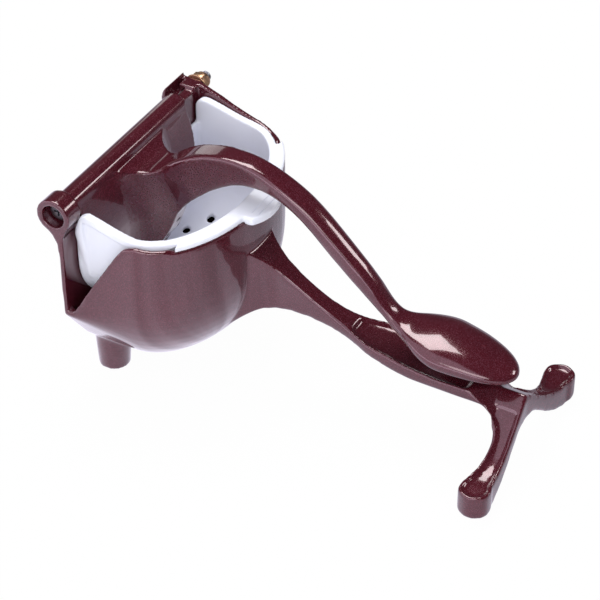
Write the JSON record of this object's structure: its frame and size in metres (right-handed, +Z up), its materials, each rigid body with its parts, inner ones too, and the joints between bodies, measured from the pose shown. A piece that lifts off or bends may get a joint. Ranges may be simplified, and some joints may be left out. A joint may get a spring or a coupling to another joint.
{
  "type": "hinged lemon squeezer",
  "caption": "Standing lemon squeezer: a cast lever with a palm rest swings a press plate through a strainer cup held in a cast stand with a pouring notch.",
  "frame": {"origin": "middle of the object's outline on the table plane it stands on", "axes": "+Z up, +X from the hinge towards the palm rest and the rear foot, the hinge axis lies along Y with the screw's head at -Y and its nut at +Y"},
  "size_m": [0.172, 0.105, 0.089],
  "materials": {
    "flake_paint": "glossy burgundy enamel with a fine metal flake, over die-cast aluminium",
    "white_plastic": "moulded white polypropylene, semi-matte",
    "zinc_steel": "bright zinc-plated steel",
    "yellow_zinc": null,
    "nylon": "natural nylon"
  },
  "bodies": {
    "stand": {"stand": "flake_paint", "strainer": "white_plastic", "hinge_screw": "zinc_steel", "hinge_washer": "yellow_zinc", "hinge_nut": "yellow_zinc", "nut_lock_ring": "nylon"},
    "lever": {"lever": "flake_paint"}
  },
  "joints": [
    {"name": "lever_hinge", "type": "hinge", "parent": "stand", "child": "lever", "pos_m": [-0.0791, 0, 0.077], "axis": [0, -1, 0], "range_deg": [0, 150]}
  ]
}
